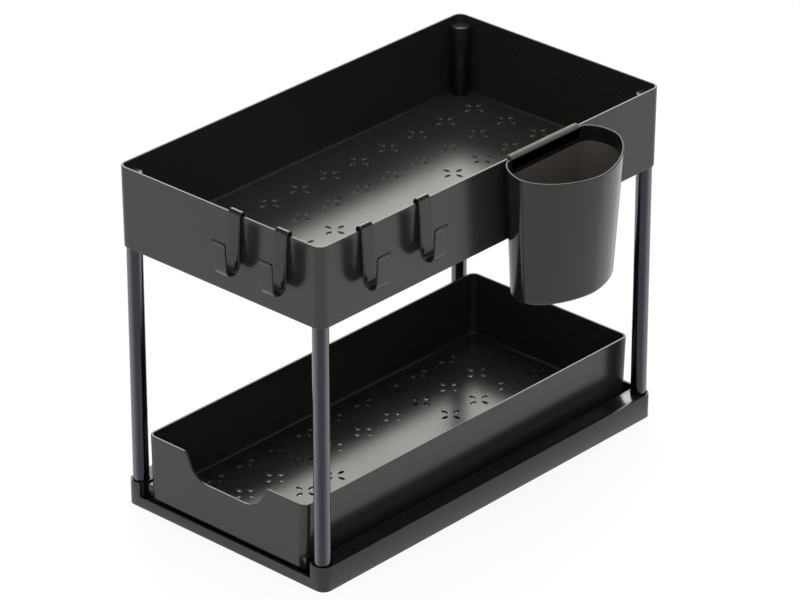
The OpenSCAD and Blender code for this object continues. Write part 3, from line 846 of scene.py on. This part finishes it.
def build_studio():
    """Soft light from all round, with bright and dark bands that the glossy faces mirror."""
    world = bpy.data.worlds.new("studio")
    bpy.context.scene.world = world
    world.use_nodes = True
    world.cycles.sampling_method = "NONE"
    nodes, links = world.node_tree.nodes, world.node_tree.links
    light = nodes["Background"]
    place = nodes.new("ShaderNodeTexCoord")
    parts = nodes.new("ShaderNodeSeparateXYZ")
    links.new(place.outputs["Generated"], parts.inputs[0])
    angle = nodes.new("ShaderNodeMath")
    angle.operation = "ARCTAN2"
    ways = [(math.cos(CAMERA_TURN), math.sin(CAMERA_TURN), 0), (math.sin(CAMERA_TURN), -math.cos(CAMERA_TURN), 0)]
    for number, direction in enumerate(ways):
        towards = nodes.new("ShaderNodeVectorMath")
        towards.operation = "DOT_PRODUCT"
        towards.inputs[1].default_value = direction
        links.new(place.outputs["Generated"], towards.inputs[0])
        links.new(towards.outputs["Value"], angle.inputs[number])
    share = map_range(nodes, -math.pi, math.pi, 0, 1)
    links.new(angle.outputs[0], share.inputs["Value"])
    low = ramp(nodes, LOW_LIGHT)
    high = ramp(nodes, HIGH_LIGHT)
    links.new(share.outputs["Result"], low.inputs[0])
    links.new(share.outputs["Result"], high.inputs[0])
    rise = map_range(nodes, 0.0, 0.12, 0, 1)
    top = map_range(nodes, 0.85, 0.97, 0, 1)
    reach = ramp(nodes, LOW_REACH)
    border = map_range(nodes, 0, 1, *LOW_BORDER)
    above = nodes.new("ShaderNodeMath")
    above.operation = "SUBTRACT"
    links.new(share.outputs["Result"], reach.inputs[0])
    links.new(reach.outputs["Color"], border.inputs["Value"])
    links.new(parts.outputs["Z"], above.inputs[0])
    links.new(border.outputs["Result"], above.inputs[1])
    links.new(above.outputs[0], rise.inputs["Value"])
    links.new(parts.outputs["Z"], top.inputs["Value"])
    sides = nodes.new("ShaderNodeMix")
    sides.data_type = "RGBA"
    links.new(rise.outputs["Result"], sides.inputs["Factor"])
    links.new(low.outputs["Color"], sides.inputs["A"])
    links.new(high.outputs["Color"], sides.inputs["B"])
    both = nodes.new("ShaderNodeMix")
    both.data_type = "RGBA"
    both.inputs["B"].default_value = (*(OVERHEAD_LIGHT / STUDIO_TOP * part for part in STUDIO_TINT), 1)
    links.new(top.outputs["Result"], both.inputs["Factor"])
    links.new(sides.outputs["Result"], both.inputs["A"])
    links.new(both.outputs["Result"], light.inputs["Color"])
    light.inputs["Strength"].default_value = STUDIO_TOP


def build_floor():
    """A plain pale floor that keeps the object's shadow."""
    reach = 30.0
    mesh = bpy.data.meshes.new("floor")
    drop = -0.05 * MM
    mesh.from_pydata([(-reach, -reach, drop), (reach, -reach, drop), (reach, reach, drop),
                      (-reach, reach, drop)], [], [(0, 1, 2, 3)])
    paint = bpy.data.materials.new("pale_floor")
    paint.use_nodes = True
    shader = paint.node_tree.nodes["Principled BSDF"]
    shader.inputs["Base Color"].default_value = (1, 1, 1, 1)
    shader.inputs["Roughness"].default_value = 1.0
    shader.inputs["Specular IOR Level"].default_value = 0.0
    nodes, links = paint.node_tree.nodes, paint.node_tree.links
    way_in = nodes.new("ShaderNodeLightPath")
    glow = nodes.new("ShaderNodeEmission")
    blend = nodes.new("ShaderNodeMixShader")
    share = way_in.outputs["Is Camera Ray"]
    for other in ("Is Glossy Ray", "Is Transmission Ray"):
        larger = nodes.new("ShaderNodeMath")
        larger.operation = "MAXIMUM"
        links.new(share, larger.inputs[0])
        links.new(way_in.outputs[other], larger.inputs[1])
        share = larger.outputs[0]
    part = nodes.new("ShaderNodeMath")
    part.operation = "MULTIPLY"
    part.inputs[1].default_value = FLOOR_GLOW
    links.new(share, part.inputs[0])
    links.new(part.outputs[0], blend.inputs[0])
    links.new(shader.outputs[0], blend.inputs[1])
    links.new(glow.outputs[0], blend.inputs[2])
    links.new(blend.outputs[0], nodes["Material Output"].inputs["Surface"])
    mesh.materials.append(paint)
    floor = bpy.data.objects.new("floor", mesh)
    bpy.context.scene.collection.objects.link(floor)


def build_camera():
    """The photograph's camera, far off with a long lens."""
    back = Vector((math.sin(CAMERA_TURN) * math.cos(CAMERA_RISE),
                   -math.cos(CAMERA_TURN) * math.cos(CAMERA_RISE), math.sin(CAMERA_RISE)))
    right = Vector((math.cos(CAMERA_TURN), math.sin(CAMERA_TURN), 0))
    up = back.cross(right)
    tilted = right * math.cos(CAMERA_ROLL) + up * math.sin(CAMERA_ROLL)
    raised = up * math.cos(CAMERA_ROLL) - right * math.sin(CAMERA_ROLL)
    lens = bpy.data.cameras.new("camera")
    lens.sensor_width = 36
    lens.lens = FOCAL_PIXELS / PHOTO_WIDTH * lens.sensor_width
    lens.clip_start = 0.1
    lens.clip_end = 80
    camera = bpy.data.objects.new("camera", lens)
    camera.matrix_world = Matrix((
        (tilted.x, raised.x, back.x, CAMERA_PLACE[0]),
        (tilted.y, raised.y, back.y, CAMERA_PLACE[1]),
        (tilted.z, raised.z, back.z, CAMERA_PLACE[2]),
        (0, 0, 0, 1)))
    bpy.context.scene.collection.objects.link(camera)
    bpy.context.scene.camera = camera


GRAIN = grain_group()
satin_black = finish("satin_black_plastic", (0.0180, 0.0174, 0.0164), 0.20, 0.55, 0.006, 60, 0.02)
# The base is a darker copy of the tubs' satin black: painted shade for the deck under the drawer.
base_painted_shade = finish("satin_black_base_painted_shade", (0.0085, 0.0083, 0.0080), 0.20, 0.55, 0.006, 60, 0.02)
gloss_black = finish("gloss_black_plastic", (0.009, 0.009, 0.009), 0.13, 0.55, 0.003, 60, 0.015)
# A matt copy of the black, about ten times lighter: painted light inside the cup.
cup_painted_inside = finish("cup_inside_painted_light", (0.100, 0.090, 0.080), 0.6, 0.55, 0.006, 60, 0.03)
smooth_black = finish("smooth_black_plastic", (0.009, 0.009, 0.009), 0.12, 0.5, 0.002, 20, 0.01)
# The legs' lighter edge colour is a painted highlight down their sides.
leg_black = finish("black_leg_metal", (0.044, 0.046, 0.055), 0.19, 0.4, 0.002, 40, 0.02, metallic=1.0,
                   painted_edge_highlight=(0.150, 0.153, 0.175))
pad_black = finish("black_rubber", (0.012, 0.012, 0.012), 0.75, 0.5, 0.03, 10, 0.05)

build_camera()
build_studio()
build_floor()
build_base(base_painted_shade)
build_basket(satin_black)
build_drawer(satin_black)
build_legs(leg_black)
build_hooks(smooth_black)
build_cup(gloss_black, cup_painted_inside)
for pad in ("pad_front_left", "pad_front_right", "pad_rear_left", "pad_rear_right"):
    for pad_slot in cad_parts[pad].material_slots:
        pad_slot.material = pad_black

bpy.context.scene.view_settings.view_transform = "Standard"
